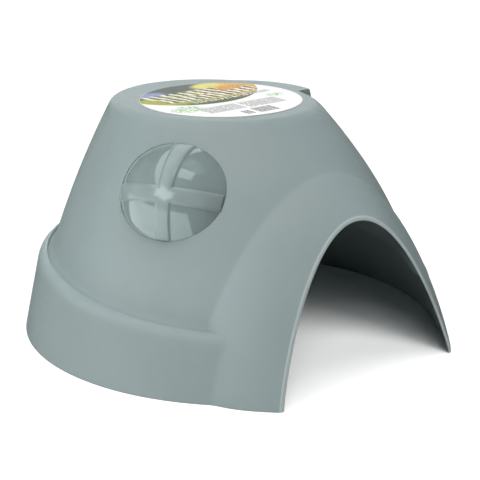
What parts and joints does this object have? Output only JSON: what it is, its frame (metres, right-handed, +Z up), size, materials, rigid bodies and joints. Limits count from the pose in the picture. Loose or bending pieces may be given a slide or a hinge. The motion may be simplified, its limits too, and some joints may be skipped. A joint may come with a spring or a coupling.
{
  "type": "small-pet hideaway shelter",
  "caption": "Floorless moulded shelter with a flat roof, a stepped skirt, one arched entrance hood and a domed side window, for a small pet to hide in.",
  "frame": {"origin": "on the floor plane, under the middle of the overall length and width", "axes": "+Z up; the arched entrance faces -Y; the domed window is on the -X side"},
  "size_m": [0.29, 0.2943, 0.1593],
  "materials": {
    "shell": "satin moulded grey-green",
    "window": "glossy clear tinted",
    "label": "coated printed paper"
  },
  "bodies": {
    "root": {"shell": "shell", "window": "window", "label": "label"}
  },
  "joints": []
}
